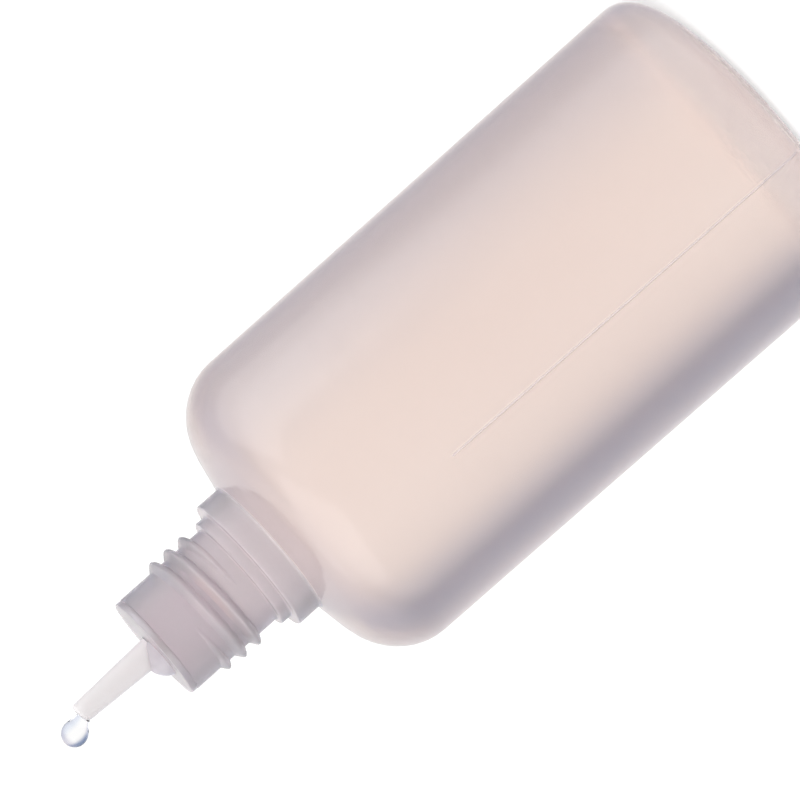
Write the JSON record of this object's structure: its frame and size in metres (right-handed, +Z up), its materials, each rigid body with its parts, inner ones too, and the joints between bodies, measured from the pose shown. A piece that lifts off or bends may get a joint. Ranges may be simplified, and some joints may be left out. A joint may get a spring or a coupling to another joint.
{
  "type": "eye drop bottle",
  "caption": "Round squeeze bottle of milky translucent plastic with a threaded neck, press-in dropper plug with a slim nozzle, liquid inside and a drop at the tip.",
  "frame": {"origin": "middle of the plane that the base stands on", "axes": "+Z up the bottle's axis towards the nozzle; -X is the side that the drop hangs to"},
  "size_m": [0.0406, 0.0406, 0.1023],
  "materials": {
    "milky_plastic": "milky translucent low-density polyethylene, satin",
    "plug_plastic": "translucent low-density polyethylene, smooth",
    "clear_liquid": "clear watery liquid",
    "drop_liquid": "clear watery liquid in the open"
  },
  "bodies": {
    "bottle": {"bottle": "milky_plastic", "liquid": "clear_liquid"},
    "plug": {"dropper_plug": "plug_plastic", "tip_drop": "drop_liquid", "runback_bead": "drop_liquid"}
  },
  "joints": [
    {"name": "plug_pull", "type": "slide", "parent": "bottle", "child": "plug", "axis": [0, 0, 1], "range_m": [0, 0.012]}
  ]
}
